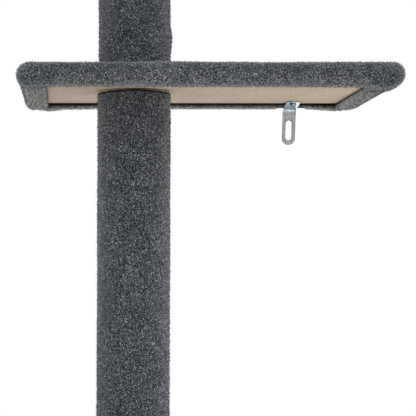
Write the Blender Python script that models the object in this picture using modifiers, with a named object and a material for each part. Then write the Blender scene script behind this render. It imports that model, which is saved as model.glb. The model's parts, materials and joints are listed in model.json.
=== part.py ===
"""Floor-to-ceiling cat tree: carpeted posts and shelves clamped between a floor base and a ceiling screw.

All sizes are in metres. The origin is on the floor under the middle of the base, +Z is up,
-Y is the room side and +Y the wall side, where an angle bracket ties one shelf to the wall.
"""

import math

import bmesh
import bpy
from mathutils import Matrix, Vector

# Clearances
SEAT_GAP = 0.0003
CUT_OVERRUN = 0.002
MERGE_DISTANCE = 0.00001

# Carpet, glued round every board and post
CARPET_THICKNESS = 0.0045
END_HEM_WIDTH = 0.030
SIDE_HEM_WIDTH = 0.036
CARPET_EDGE_RADIUS = 0.010
CARPET_CORNER_RADIUS = 0.016

# Base
BASE_WIDTH = 0.600
BASE_DEPTH = 0.400
BASE_BOARD_THICKNESS = 0.022
GLIDE_DIAMETER = 0.030
GLIDE_THICKNESS = 0.004
GLIDE_INSET = 0.020
BASE_BOLT_HEAD_DIAMETER = 0.016
BASE_BOLT_HEAD_HEIGHT = 0.0045
BASE_BOLT_HEAD_RIM = 0.001

# Shelves, each reaching out to the right (1) or the left (-1) of the posts
SHELF_WIDTH = 0.434
SHELF_DEPTH = 0.330
SHELF_BOARD_THICKNESS = 0.016
SHELF_SIDES = (1, -1, 1, -1)
POST_FROM_SIDE = 0.134
POST_FROM_FRONT = 0.133

# Posts
POST_TUBE_DIAMETER = 0.076
POST_TUBE_WALL = 0.004
POST_LENGTH = 0.450
TOP_POST_LENGTH = 0.390
PLUG_THICKNESS = 0.022
SLEEVE_SETBACK = 0.0007
SLEEVE_END_CHAMFER = 0.0015

# Studs and inserts that hold the posts together
STUD_DIAMETER = 0.008
STUD_ENGAGEMENT = 0.020
INSERT_DIAMETER = 0.011
INSERT_FLANGE_DIAMETER = 0.022
INSERT_FLANGE_THICKNESS = 0.0015

# Wall bracket: a foot screwed up into the third shelf, and a slotted arm that hangs down the wall
BRACKET_SHELF = 3
BRACKET_FROM_POST = 0.203
BRACKET_WIDTH = 0.017
BRACKET_THICKNESS = 0.0016
BRACKET_BEND_RADIUS = 0.004
BRACKET_FOOT_LENGTH = 0.060
BRACKET_ARM_LENGTH = 0.0405
BRACKET_WALL_INSET = 0.001
BRACKET_TILT_DEGREES = 4.6
BRACKET_SWIVEL_DEGREES = 12.0
SLOT_WIDTH = 0.0075
SLOT_LENGTH = 0.025
SLOT_ABOVE_TIP = 0.006
DENT_MARGIN = 0.0005
DENT_DEPTH = 0.009

# The screw that the bracket swivels on
WOOD_SCREW_FROM_END = 0.0145
WOOD_SCREW_DIAMETER = 0.004
WOOD_SCREW_REACH = 0.012
WOOD_SCREW_POINT = 0.003
WOOD_SCREW_HEAD_DIAMETER = 0.0078
WOOD_SCREW_HEAD_HEIGHT = 0.0022
WOOD_SCREW_HEAD_EDGE = 0.0009
CROSS_RECESS_SPAN = 0.0042
CROSS_RECESS_WIDTH = 0.0009
CROSS_RECESS_DEPTH = 0.0012

# Ceiling screw, wound up out of a flanged nut on the top post
SPINDLE_DIAMETER = 0.016
SPINDLE_BELOW_FLANGE = 0.125
SPINDLE_END_CHAMFER = 0.002
SPINDLE_HEX_ACROSS_FLATS = 0.024
SPINDLE_HEX_HEIGHT = 0.012
PIVOT_DIAMETER = 0.012
PIVOT_LENGTH = 0.010
FREE_THREAD = 0.0164
FLANGE_DIAMETER = 0.070
FLANGE_THICKNESS = 0.003
FLANGE_BARREL_DIAMETER = 0.026
FLANGE_BARREL_LENGTH = 0.030
LOCK_WASHER_DIAMETER = 0.034
LOCK_WASHER_THICKNESS = 0.002
LOCK_NUT_DIAMETER = 0.056
LOCK_NUT_LOBES = 6
LOCK_NUT_LOBE_DEPTH = 0.0045
LOCK_NUT_RIM_HEIGHT = 0.011
LOCK_NUT_HUB_DIAMETER = 0.030
LOCK_NUT_HUB_HEIGHT = 0.016
LOCK_NUT_ROUNDING = 0.0015
LOCK_NUT_ROUNDED_DEGREES = 60

# Ceiling plate
CEILING_PLATE_DIAMETER = 0.170
CEILING_BOARD_THICKNESS = 0.016
CEILING_HEM_WIDTH = 0.026
CEILING_PAD_THICKNESS = 0.006
SOCKET_CUP_DIAMETER = 0.026
SOCKET_CUP_HEIGHT = 0.012
SOCKET_FLANGE_DIAMETER = 0.058
SOCKET_FLANGE_THICKNESS = 0.003
SOCKET_SCREW_COUNT = 2
SOCKET_SCREW_CIRCLE = 0.044
SOCKET_SCREW_DIAMETER = 0.004
SOCKET_SCREW_LENGTH = 0.012
SOCKET_SCREW_HEAD_DIAMETER = 0.008
SOCKET_SCREW_HEAD_HEIGHT = 0.0014

# Facets
POST_STEPS = 36
TUBE_STEPS = 20
DISC_STEPS = 40
SPINDLE_STEPS = 20
SMALL_STEPS = 10
CORNER_STEPS = 4
EDGE_STEPS = 3
BEND_STEPS = 6
ROUND_STEPS = 12
DOME_STEPS = 3
LOBE_POINTS = 8
ROUNDING_STEPS = 2
SHARP_DEGREES = 35

# Sizes that follow from the ones above
CARPET_BUILD_UP = CARPET_THICKNESS + SEAT_GAP
BOARD_CORNER_RADIUS = CARPET_CORNER_RADIUS - CARPET_BUILD_UP
POST_RADIUS = POST_TUBE_DIAMETER / 2 + CARPET_BUILD_UP
POST_Y = BASE_DEPTH / 2 - SHELF_DEPTH + POST_FROM_FRONT
BASE_BOTTOM = GLIDE_THICKNESS + SEAT_GAP
BASE_TOP = BASE_BOTTOM + 2 * CARPET_BUILD_UP + BASE_BOARD_THICKNESS
SHELF_TOP_ABOVE_BOARD_LOW = SHELF_BOARD_THICKNESS + CARPET_BUILD_UP
POST_AXIS = (0, POST_Y, 0)

# Colours, as linear red, green and blue
CARPET_GREY = (0.082, 0.085, 0.093)
BOARD_TAN = (0.43, 0.35, 0.27)
CARDBOARD_BROWN = (0.36, 0.24, 0.14)
PLUG_WOOD = (0.55, 0.40, 0.24)
ZINC_GREY = (0.60, 0.62, 0.63)
NYLON_BLACK = (0.02, 0.02, 0.022)
FELT_GREY = (0.12, 0.12, 0.12)
RUBBER_BLACK = (0.03, 0.03, 0.03)


def clear_scene():
    for old in list(bpy.data.objects):
        bpy.data.objects.remove(old, do_unlink=True)


def new_collection(name):
    collection = bpy.data.collections.new(name)
    bpy.context.scene.collection.children.link(collection)
    return collection


def make_material(name, colour, roughness, metallic=0.0):
    material = bpy.data.materials.new(name)
    material.use_nodes = True
    shader = material.node_tree.nodes["Principled BSDF"]
    shader.inputs["Base Color"].default_value = (*colour, 1.0)
    shader.inputs["Roughness"].default_value = roughness
    shader.inputs["Metallic"].default_value = metallic
    material.diffuse_color = (*colour, 1.0)
    return material


def make_materials():
    return {
        "carpet": make_material("dark grey carpet", CARPET_GREY, 0.95),
        "board": make_material("bare fibreboard", BOARD_TAN, 0.75),
        "cardboard": make_material("cardboard", CARDBOARD_BROWN, 0.85),
        "plug": make_material("wooden plug", PLUG_WOOD, 0.7),
        "zinc": make_material("zinc plated steel", ZINC_GREY, 0.35, metallic=1.0),
        "nylon": make_material("black nylon", NYLON_BLACK, 0.45),
        "felt": make_material("glide felt", FELT_GREY, 0.95),
        "rubber": make_material("grip rubber", RUBBER_BLACK, 0.8),
    }


def place(name, mesh, collection, material=None, at=(0, 0, 0)):
    """Links a mesh as a named object, shaded smooth except over sharp edges."""
    obj = bpy.data.objects.new(name, mesh)
    obj.location = at
    collection.objects.link(obj)
    if material is not None:
        mesh.materials.append(material)
    mesh.shade_smooth()
    mesh.set_sharp_from_angle(angle=math.radians(SHARP_DEGREES))
    return obj


def boolean(obj, other, operation):
    other.hide_render = True
    other.display_type = "WIRE"
    modifier = obj.modifiers.new(f"{operation.lower()} {other.name}", "BOOLEAN")
    modifier.operation = operation
    modifier.solver = "EXACT"
    modifier.object = other


def cut(obj, cutter):
    boolean(obj, cutter, "DIFFERENCE")


def join(obj, other):
    boolean(obj, other, "UNION")


def finish_mesh(bm, name):
    mesh = bpy.data.meshes.new(name)
    bm.to_mesh(mesh)
    bm.free()
    return mesh


def is_upright(edge):
    """True for an edge nearer to vertical than to level."""
    along = edge.verts[1].co - edge.verts[0].co
    return abs(along.z) > along.xy.length


def rounded_box(size, corner_radius=0.0, edge_radius=0.0):
    """A box centred on the origin, its upright corners rounded in plan and its rims rolled over."""
    bm = bmesh.new()
    bmesh.ops.create_cube(bm, size=1.0)
    bmesh.ops.scale(bm, verts=bm.verts, vec=Vector(size))
    if corner_radius:
        corners = [e for e in bm.edges if is_upright(e)]
        bmesh.ops.bevel(bm, geom=corners, offset=corner_radius, segments=CORNER_STEPS, profile=0.5, affect="EDGES")
    if edge_radius:
        rims = [e for e in bm.edges if not is_upright(e)]
        bmesh.ops.bevel(bm, geom=rims, offset=edge_radius, segments=EDGE_STEPS, profile=0.5, affect="EDGES")
    return finish_mesh(bm, "rounded box")


def add_cylinder(bm, diameter, low, high, steps, centre=(0, 0)):
    made = bmesh.ops.create_cone(
        bm, cap_ends=True, segments=steps, radius1=diameter / 2, radius2=diameter / 2, depth=high - low
    )
    bmesh.ops.translate(bm, verts=made["verts"], vec=(*centre, (low + high) / 2))


def cylinder(diameter, low, high, steps):
    bm = bmesh.new()
    add_cylinder(bm, diameter, low, high, steps)
    return finish_mesh(bm, "cylinder")


def turned(name, profile, steps, collection, material=None, closed=True, at=POST_AXIS):
    """A turned solid. The profile is (radius, height) pairs that run down the outer side.

    A closed profile makes a ring, and an open one starts and ends on the axis.
    """
    mesh = bpy.data.meshes.new(name)
    edges = [(i, i + 1) for i in range(len(profile) - 1)]
    if closed:
        edges.append((len(profile) - 1, 0))
    mesh.from_pydata([(radius, 0, height) for radius, height in profile], edges, [])
    obj = place(name, mesh, collection, material, at)
    screw = obj.modifiers.new("turn", "SCREW")
    screw.steps = screw.render_steps = steps
    screw.use_merge_vertices = True
    screw.merge_threshold = MERGE_DISTANCE
    return obj


def ring_profile(outer_diameter, inner_diameter, low, high):
    outer = outer_diameter / 2
    inner = inner_diameter / 2
    return [(outer, high), (outer, low), (inner, low), (inner, high)]


def arc(centre, radius, start_degrees, end_degrees, steps):
    """Points along an arc, both ends included."""
    points = []
    for i in range(steps + 1):
        angle = math.radians(start_degrees + (end_degrees - start_degrees) * i / steps)
        points.append((centre[0] + radius * math.cos(angle), centre[1] + radius * math.sin(angle)))
    return points


def extruded(name, outline, thickness, collection):
    """A flat outline in X and Y, given thickness evenly about Z = 0, as a mesh object."""
    curve = bpy.data.curves.new(name, "CURVE")
    curve.dimensions = "2D"
    curve.fill_mode = "BOTH"
    curve.extrude = thickness / 2
    spline = curve.splines.new("POLY")
    spline.points.add(len(outline) - 1)
    for point, (x, y) in zip(spline.points, outline):
        point.co = (x, y, 0, 1)
    spline.use_cyclic_u = True
    drawn = bpy.data.objects.new(name + " curve", curve)
    collection.objects.link(drawn)
    bpy.context.view_layer.update()
    solid = bpy.data.meshes.new_from_object(drawn.evaluated_get(bpy.context.evaluated_depsgraph_get()))
    bpy.data.objects.remove(drawn)
    bm = bmesh.new()
    bm.from_mesh(solid)
    bmesh.ops.remove_doubles(bm, verts=bm.verts, dist=MERGE_DISTANCE)
    bm.to_mesh(solid)
    bm.free()
    return place(name, solid, collection)


def carpet_wrap(name, outer_size, middle, parts, cutters, material):
    """Carpet folded round a board: its top, four rolled edges, and a hem all round underneath."""
    outer = rounded_box(outer_size, CARPET_CORNER_RADIUS, CARPET_EDGE_RADIUS)
    cover = place(name, outer, parts, material, middle)
    pocket_size = [length - 2 * CARPET_THICKNESS for length in outer_size]
    pocket = rounded_box(pocket_size, BOARD_CORNER_RADIUS + SEAT_GAP)
    cut(cover, place(name + " pocket", pocket, cutters, at=middle))
    window_size = (outer_size[0] - 2 * SIDE_HEM_WIDTH, outer_size[1] - 2 * END_HEM_WIDTH, outer_size[2])
    window_middle = (middle[0], middle[1], middle[2] - outer_size[2] / 2)
    cut(cover, place(name + " window", rounded_box(window_size), cutters, at=window_middle))
    return cover


def board_inside(name, outer_size, middle, parts, material):
    """The board that a carpet wrap of this outer size holds."""
    board_size = [length - 2 * CARPET_BUILD_UP for length in outer_size]
    return place(name, rounded_box(board_size, BOARD_CORNER_RADIUS), parts, material, middle)


def drill_for_stud(obj, low, high, cutters):
    hole = cylinder(STUD_DIAMETER + 2 * SEAT_GAP, low - CUT_OVERRUN, high + CUT_OVERRUN, SMALL_STEPS)
    cut(obj, place(obj.name + " stud hole", hole, cutters, at=POST_AXIS))


def build_base(parts, cutters, materials):
    outer_size = (BASE_WIDTH, BASE_DEPTH, BASE_TOP - BASE_BOTTOM)
    middle = (0, 0, (BASE_BOTTOM + BASE_TOP) / 2)
    board = board_inside("base_board", outer_size, middle, parts, materials["board"])
    cover = carpet_wrap("base_cover", outer_size, middle, parts, cutters, materials["carpet"])
    drill_for_stud(cover, middle[2], BASE_TOP, cutters)

    board_bottom = BASE_BOTTOM + CARPET_BUILD_UP
    bolt_top = BASE_TOP + SEAT_GAP + STUD_ENGAGEMENT
    bolt = bolt_profile(board_bottom, board_bottom, bolt_top, 0)
    turned("base_bolt", bolt, SMALL_STEPS, parts, materials["zinc"], closed=False)
    hole = bolt_profile(board_bottom, board_bottom - CUT_OVERRUN, bolt_top, SEAT_GAP)
    cut(board, turned("base bolt hole", hole, SMALL_STEPS, cutters, closed=False))
    build_glides(parts, materials["felt"])


def bolt_profile(seat, low, high, clearance):
    """A countersunk bolt, head down. With a clearance, and a low below its seat, it is its own cutter."""
    head = BASE_BOLT_HEAD_DIAMETER / 2 + clearance
    shank = STUD_DIAMETER / 2 + clearance
    cone_top = seat + BASE_BOLT_HEAD_HEIGHT + clearance
    cone_bottom = seat + BASE_BOLT_HEAD_RIM + clearance
    return [(0, high), (shank, high), (shank, cone_top), (head, cone_bottom), (head, low), (0, low)]


def build_glides(parts, material):
    """Felt glides under the hem of the base, one near each corner."""
    glide = cylinder(GLIDE_DIAMETER, 0, GLIDE_THICKNESS, 2 * SMALL_STEPS)
    reach_x = BASE_WIDTH / 2 - GLIDE_INSET
    reach_y = BASE_DEPTH / 2 - GLIDE_INSET
    corners = (("left", -reach_x), ("right", reach_x))
    for side, x in corners:
        for end, y in (("front", -reach_y), ("back", reach_y)):
            place(f"base_glide_{end}_{side}", glide.copy(), parts, material, (x, y, 0))


def build_post(number, low, length, top_filling, parts, materials):
    """A cardboard tube in a carpet sleeve, with a wooden plug in each end.

    The plugs' holes take the threaded inserts, or at the very top the barrel of the spindle's nut.
    """
    high = low + length
    bore = POST_TUBE_DIAMETER - 2 * POST_TUBE_WALL
    tube = ring_profile(POST_TUBE_DIAMETER, bore, low, high)
    turned(f"post_tube_{number}", tube, TUBE_STEPS, parts, materials["cardboard"])

    sleeve_low = low + SLEEVE_SETBACK
    sleeve_high = high - SLEEVE_SETBACK
    inner = POST_RADIUS - CARPET_THICKNESS
    sleeve = [
        (POST_RADIUS - SLEEVE_END_CHAMFER, sleeve_high),
        (POST_RADIUS, sleeve_high - SLEEVE_END_CHAMFER),
        (POST_RADIUS, sleeve_low + SLEEVE_END_CHAMFER),
        (POST_RADIUS - SLEEVE_END_CHAMFER, sleeve_low),
        (inner, sleeve_low),
        (inner, sleeve_high),
    ]
    turned(f"post_sleeve_{number}", sleeve, POST_STEPS, parts, materials["carpet"])

    plug_diameter = bore - 2 * SEAT_GAP
    low_plug = ring_profile(plug_diameter, INSERT_DIAMETER + 2 * SEAT_GAP, low, low + PLUG_THICKNESS)
    turned(f"post_plug_bottom_{number}", low_plug, TUBE_STEPS, parts, materials["plug"])
    build_insert(f"post_insert_bottom_{number}", low, 1, parts, materials["zinc"])
    high_plug = ring_profile(plug_diameter, top_filling + 2 * SEAT_GAP, high - PLUG_THICKNESS, high)
    turned(f"post_plug_top_{number}", high_plug, TUBE_STEPS, parts, materials["plug"])


def build_insert(name, mouth, inward, parts, material):
    """A threaded insert: its barrel fills a plug, and its flange pulls against the plug's inner face."""
    flange_near = mouth + inward * (PLUG_THICKNESS + SEAT_GAP)
    flange_far = flange_near + inward * INSERT_FLANGE_THICKNESS
    barrel = INSERT_DIAMETER / 2
    flange = INSERT_FLANGE_DIAMETER / 2
    bore = STUD_DIAMETER / 2 + SEAT_GAP
    profile = [
        (flange, flange_far),
        (flange, flange_near),
        (barrel, flange_near),
        (barrel, mouth),
        (bore, mouth),
        (bore, flange_far),
    ]
    if inward < 0:
        profile.reverse()
    turned(name, profile, SMALL_STEPS, parts, material)


def build_shelf(number, side, board_low, parts, cutters, materials):
    """One carpeted shelf with the stud that runs through it into the posts above and below."""
    outer_size = (SHELF_WIDTH, SHELF_DEPTH, SHELF_BOARD_THICKNESS + 2 * CARPET_BUILD_UP)
    x = side * (SHELF_WIDTH / 2 - POST_FROM_SIDE)
    y = BASE_DEPTH / 2 - SHELF_DEPTH / 2
    middle = (x, y, board_low + SHELF_BOARD_THICKNESS / 2)
    board = board_inside(f"shelf_board_{number}", outer_size, middle, parts, materials["board"])
    cover = carpet_wrap(f"shelf_cover_{number}", outer_size, middle, parts, cutters, materials["carpet"])
    top = board_low + SHELF_TOP_ABOVE_BOARD_LOW
    drill_for_stud(board, board_low, board_low + SHELF_BOARD_THICKNESS, cutters)
    drill_for_stud(cover, middle[2], top, cutters)
    stud_low = board_low - SEAT_GAP - STUD_ENGAGEMENT
    stud = cylinder(STUD_DIAMETER, stud_low, top + SEAT_GAP + STUD_ENGAGEMENT, SMALL_STEPS)
    place(f"shelf_stud_{number}", stud, parts, materials["zinc"], POST_AXIS)
    return board, cover


def foot_sweep_back():
    """How far behind the screw the back of the hanging arm lies, along the foot."""
    return BRACKET_FOOT_LENGTH - WOOD_SCREW_FROM_END + BRACKET_BEND_RADIUS + BRACKET_THICKNESS


def bracket_seat(board_low):
    """The frame of the bracket's foot, which slopes down from the bare board over the hem.

    Its origin is on the foot's upper face at the screw, its -Y runs out along the foot and its +Z
    runs up along the screw. The tip of the foot's upper face is level with the board's underside.
    """
    tilt = math.radians(BRACKET_TILT_DEGREES)
    bend = BRACKET_BEND_RADIUS + BRACKET_THICKNESS
    straight = BRACKET_FOOT_LENGTH - WOOD_SCREW_FROM_END
    arm_face = straight * math.cos(tilt) + bend * (1 - math.sin(tilt))
    y = BASE_DEPTH / 2 - BRACKET_WALL_INSET - arm_face
    z = board_low - WOOD_SCREW_FROM_END * math.sin(tilt)
    return Matrix.Translation((BRACKET_FROM_POST, y, z)) @ Matrix.Rotation(-tilt, 4, "X")


def bend_degrees():
    """The bend is short of square, so that the arm hangs plumb from the tilted foot."""
    return 90 - BRACKET_TILT_DEGREES


def bend_length():
    """The length of the bend along the bracket's outer face."""
    return (BRACKET_BEND_RADIUS + BRACKET_THICKNESS) * math.radians(bend_degrees())


def bracket_blank():
    """The bracket's flat blank before it is bent: an outline, a slot and a screw hole.

    Y runs from the foot's round front end, through the screw at zero, to the arm's round tip.
    """
    half = BRACKET_WIDTH / 2
    front = -WOOD_SCREW_FROM_END
    tip = front + BRACKET_FOOT_LENGTH + bend_length() + BRACKET_ARM_LENGTH
    outline = arc((0, tip - half), half, 0, 180, ROUND_STEPS)
    outline += arc((0, front + half), half, 180, 360, ROUND_STEPS)
    end = SLOT_WIDTH / 2
    slot_low = tip - SLOT_ABOVE_TIP - SLOT_LENGTH
    slot = arc((0, slot_low + SLOT_LENGTH - end), end, 0, 180, ROUND_STEPS)
    slot += arc((0, slot_low + end), end, 180, 360, ROUND_STEPS)
    hole = arc((0, 0), WOOD_SCREW_DIAMETER / 2 + SEAT_GAP, 0, 360, 2 * ROUND_STEPS)[:-1]
    return outline, slot, hole


def folded(y):
    """Where a point of the flat blank's outer face lies once the arm is bent down: its Y and Z."""
    radius = BRACKET_BEND_RADIUS + BRACKET_THICKNESS
    start = BRACKET_FOOT_LENGTH - WOOD_SCREW_FROM_END
    if y <= start:
        return y, 0
    angle = min((y - start) / radius, math.radians(bend_degrees()))
    beyond = max(0, y - start - bend_length())
    out = start + radius * math.sin(angle) + beyond * math.cos(angle)
    down = radius * (1 - math.cos(angle)) + beyond * math.sin(angle)
    return out, -down


def build_bracket(board_low, board, cover, parts, cutters, materials):
    """The blank is filled, scored across the bend, folded and given its thickness."""
    seat = bracket_seat(board_low)
    bm = bmesh.new()
    for loop in bracket_blank():
        verts = [bm.verts.new((x, y, 0)) for x, y in loop]
        for i, vert in enumerate(verts):
            bm.edges.new((verts[i - 1], vert))
    bmesh.ops.triangle_fill(bm, edges=bm.edges, use_beauty=True, normal=(0, 0, 1))
    for face in bm.faces:
        if face.normal.z < 0:
            face.normal_flip()
    bend_start = BRACKET_FOOT_LENGTH - WOOD_SCREW_FROM_END
    for i in range(BEND_STEPS + 1):
        score = (0, bend_start + bend_length() * i / BEND_STEPS, 0)
        everything = bm.verts[:] + bm.edges[:] + bm.faces[:]
        bmesh.ops.bisect_plane(bm, geom=everything, dist=MERGE_DISTANCE, plane_co=score, plane_no=(0, 1, 0))
    for vert in bm.verts:
        vert.co.y, vert.co.z = folded(vert.co.y)
    bracket = place("wall_bracket", finish_mesh(bm, "wall_bracket"), parts, materials["zinc"])
    bracket.matrix_world = seat
    sheet = bracket.modifiers.new("sheet", "SOLIDIFY")
    sheet.thickness = BRACKET_THICKNESS
    sheet.offset = -1
    sheet.use_even_offset = True

    dent = extruded("bracket dent", dent_outline(), DENT_DEPTH, cutters)
    dent.matrix_world = seat @ Matrix.Translation((0, 0, SEAT_GAP - DENT_DEPTH / 2))
    cut(board, dent)
    cut(cover, dent)
    build_wood_screw(seat, board, cover, parts, cutters, materials)


def dent_outline():
    """The plan of the dent that clears the foot as it swivels: narrowest beside the screw."""
    lean = BRACKET_SWIVEL_DEGREES
    swivel = math.radians(lean)
    radius = BRACKET_WIDTH / 2 + DENT_MARGIN
    reach = WOOD_SCREW_FROM_END - BRACKET_WIDTH / 2
    side = reach * math.sin(swivel)
    front = -reach * math.cos(swivel)
    nose = arc((-side, front), radius, 180 - lean, 270 - lean, CORNER_STEPS)
    nose.append((0, -reach - radius))
    nose += arc((side, front), radius, 270 + lean, 360 + lean, CORNER_STEPS)
    waist = radius / math.cos(swivel)
    back = foot_sweep_back() + CUT_OVERRUN
    flank = waist + back * math.tan(swivel)
    return [(-waist, 0)] + nose + [(waist, 0), (flank, back), (-flank, back)]


def build_wood_screw(seat, board, cover, parts, cutters, materials):
    """A pan-head screw up through the bracket's foot, with a cross recess in its head."""
    shank = WOOD_SCREW_DIAMETER / 2
    head = WOOD_SCREW_HEAD_DIAMETER / 2
    head_top = -BRACKET_THICKNESS - SEAT_GAP
    head_bottom = head_top - WOOD_SCREW_HEAD_HEIGHT
    dome = WOOD_SCREW_HEAD_HEIGHT - WOOD_SCREW_HEAD_EDGE
    profile = [
        (0, WOOD_SCREW_REACH),
        (shank, WOOD_SCREW_REACH - WOOD_SCREW_POINT),
        (shank, head_top),
        (head, head_top),
    ]
    for across_share, down_share in arc((0, 0), 1, 0, 90, DOME_STEPS)[:-1]:
        profile.append((head * across_share, head_bottom + dome * (1 - down_share)))
    profile.append((0, head_bottom))
    screw = turned("bracket_screw", profile, 2 * SMALL_STEPS, parts, materials["zinc"], closed=False)
    screw.matrix_world = seat
    slit_mesh = rounded_box((CROSS_RECESS_SPAN, CROSS_RECESS_WIDTH, 2 * CROSS_RECESS_DEPTH))
    for degrees in (0, 90):
        slit = place(f"cross recess {degrees}", slit_mesh.copy(), cutters)
        turn = Matrix.Rotation(math.radians(degrees), 4, "Z")
        slit.matrix_world = seat @ Matrix.Translation((0, 0, head_bottom)) @ turn
        cut(screw, slit)

    pilot = cylinder(WOOD_SCREW_DIAMETER + 2 * SEAT_GAP, -DENT_DEPTH, WOOD_SCREW_REACH + SEAT_GAP, SMALL_STEPS)
    pilot_hole = place("bracket screw hole", pilot, cutters)
    pilot_hole.matrix_world = seat
    cut(board, pilot_hole)
    cut(cover, pilot_hole)


def build_socket_screws(seat, socket, board, parts, cutters, material):
    """Screws up through the socket's flange into the ceiling board, their heads under the flange."""
    head_seat = seat - SEAT_GAP
    tip = head_seat + SOCKET_SCREW_LENGTH
    head = SOCKET_SCREW_HEAD_DIAMETER / 2
    shank = SOCKET_SCREW_DIAMETER / 2
    head_low = head_seat - SOCKET_SCREW_HEAD_HEIGHT
    profile = [(0, tip), (shank, tip), (shank, head_seat), (head, head_seat), (head, head_low), (0, head_low)]
    hole = cylinder(SOCKET_SCREW_DIAMETER + 2 * SEAT_GAP, seat - CUT_OVERRUN, tip + SEAT_GAP, SMALL_STEPS)
    for i in range(SOCKET_SCREW_COUNT):
        angle = 2 * math.pi * i / SOCKET_SCREW_COUNT
        reach = SOCKET_SCREW_CIRCLE / 2
        centre = (reach * math.cos(angle), POST_Y + reach * math.sin(angle), 0)
        turned(f"socket_screw_{i + 1}", profile, SMALL_STEPS, parts, material, closed=False, at=centre)
        hole_cutter = place(f"socket screw hole {i + 1}", hole.copy(), cutters, at=centre)
        cut(socket, hole_cutter)
        cut(board, hole_cutter)


def build_spindle(post_top, parts, cutters, materials):
    """The ceiling screw with its flanged nut, washer and lock nut. Returns the top of its hexagon."""
    bore = SPINDLE_DIAMETER / 2 + SEAT_GAP
    flange_low = post_top + SEAT_GAP
    flange_high = flange_low + FLANGE_THICKNESS
    barrel_low = flange_low - FLANGE_BARREL_LENGTH
    flange_profile = [
        (FLANGE_DIAMETER / 2, flange_high),
        (FLANGE_DIAMETER / 2, flange_low),
        (FLANGE_BARREL_DIAMETER / 2, flange_low),
        (FLANGE_BARREL_DIAMETER / 2, barrel_low),
        (bore, barrel_low),
        (bore, flange_high),
    ]
    turned("spindle_flange", flange_profile, TUBE_STEPS, parts, materials["zinc"])

    washer_low = flange_high + SEAT_GAP
    washer_high = washer_low + LOCK_WASHER_THICKNESS
    washer = ring_profile(LOCK_WASHER_DIAMETER, 2 * bore, washer_low, washer_high)
    turned("lock_washer", washer, SPINDLE_STEPS, parts, materials["zinc"])
    nut_top = build_lock_nut(washer_high + SEAT_GAP, 2 * bore, parts, cutters, materials)

    hex_low = nut_top + FREE_THREAD
    hex_high = hex_low + SPINDLE_HEX_HEIGHT
    pivot_top = hex_high + PIVOT_LENGTH - SEAT_GAP
    thread = SPINDLE_DIAMETER / 2
    foot = flange_high - SPINDLE_BELOW_FLANGE
    spindle_profile = [
        (0, pivot_top),
        (PIVOT_DIAMETER / 2, pivot_top),
        (PIVOT_DIAMETER / 2, hex_low + SPINDLE_END_CHAMFER),
        (thread, hex_low + SPINDLE_END_CHAMFER),
        (thread, foot + SPINDLE_END_CHAMFER),
        (thread - SPINDLE_END_CHAMFER, foot),
        (0, foot),
    ]
    spindle = turned("spindle", spindle_profile, SPINDLE_STEPS, parts, materials["zinc"], closed=False)
    hexagon = cylinder(SPINDLE_HEX_ACROSS_FLATS / math.cos(math.pi / 6), hex_low, hex_high, 6)
    join(spindle, place("spindle hexagon", hexagon, cutters, at=POST_AXIS))
    return hex_high


def build_lock_nut(low, bore_diameter, parts, cutters, materials):
    """A hand nut with a lobed rim and a taller round hub. Returns the height of its top."""
    points = LOCK_NUT_LOBES * LOBE_POINTS
    middle_radius = (LOCK_NUT_DIAMETER - LOCK_NUT_LOBE_DEPTH) / 2
    outline = []
    for i in range(points):
        angle = 2 * math.pi * i / points
        radius = middle_radius + LOCK_NUT_LOBE_DEPTH / 2 * math.cos(LOCK_NUT_LOBES * angle)
        outline.append((radius * math.cos(angle), radius * math.sin(angle)))
    nut = extruded("lock_nut", outline, LOCK_NUT_RIM_HEIGHT, parts)
    nut.location = (0, POST_Y, low + LOCK_NUT_RIM_HEIGHT / 2)
    nut.data.materials.append(materials["nylon"])
    rounding = nut.modifiers.new("rounding", "BEVEL")
    rounding.width = LOCK_NUT_ROUNDING
    rounding.segments = ROUNDING_STEPS
    rounding.limit_method = "ANGLE"
    rounding.angle_limit = math.radians(LOCK_NUT_ROUNDED_DEGREES)
    hub_high = low + LOCK_NUT_HUB_HEIGHT
    hub = cylinder(LOCK_NUT_HUB_DIAMETER, low + LOCK_NUT_ROUNDING, hub_high, SPINDLE_STEPS)
    join(nut, place("lock nut hub", hub, cutters, at=POST_AXIS))
    bore = cylinder(bore_diameter, low - CUT_OVERRUN, hub_high + CUT_OVERRUN, SPINDLE_STEPS)
    cut(nut, place("lock nut bore", bore, cutters, at=POST_AXIS))
    return hub_high


def build_ceiling_plate(hex_high, parts, cutters, materials):
    """The round plate that presses on the ceiling, with the socket that the spindle turns in."""
    cup_low = hex_high + SEAT_GAP
    flange_low = cup_low + SOCKET_CUP_HEIGHT
    flange_high = flange_low + SOCKET_FLANGE_THICKNESS
    bore = PIVOT_DIAMETER / 2 + SEAT_GAP
    bore_high = cup_low + PIVOT_LENGTH
    socket_profile = [
        (0, flange_high),
        (SOCKET_FLANGE_DIAMETER / 2, flange_high),
        (SOCKET_FLANGE_DIAMETER / 2, flange_low),
        (SOCKET_CUP_DIAMETER / 2, flange_low),
        (SOCKET_CUP_DIAMETER / 2, cup_low),
        (bore, cup_low),
        (bore, bore_high),
        (0, bore_high),
    ]
    socket = turned("ceiling_socket", socket_profile, TUBE_STEPS, parts, materials["zinc"], closed=False)

    board_low = flange_high + SEAT_GAP
    board_high = board_low + CEILING_BOARD_THICKNESS
    board_radius = CEILING_PLATE_DIAMETER / 2 - CARPET_BUILD_UP
    board_mesh = cylinder(2 * board_radius, board_low, board_high, DISC_STEPS)
    board = place("ceiling_board", board_mesh, parts, materials["board"], POST_AXIS)
    build_socket_screws(flange_low, socket, board, parts, cutters, materials["zinc"])
    build_ceiling_cover(board_low, board_high, board_radius, parts, materials)

    pad_radius = CEILING_PLATE_DIAMETER / 2 - CEILING_HEM_WIDTH - SEAT_GAP
    pad_low = board_high + SEAT_GAP
    pad = cylinder(2 * pad_radius, pad_low, pad_low + CEILING_PAD_THICKNESS, DISC_STEPS)
    place("ceiling_pad", pad, parts, materials["rubber"], POST_AXIS)


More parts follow.
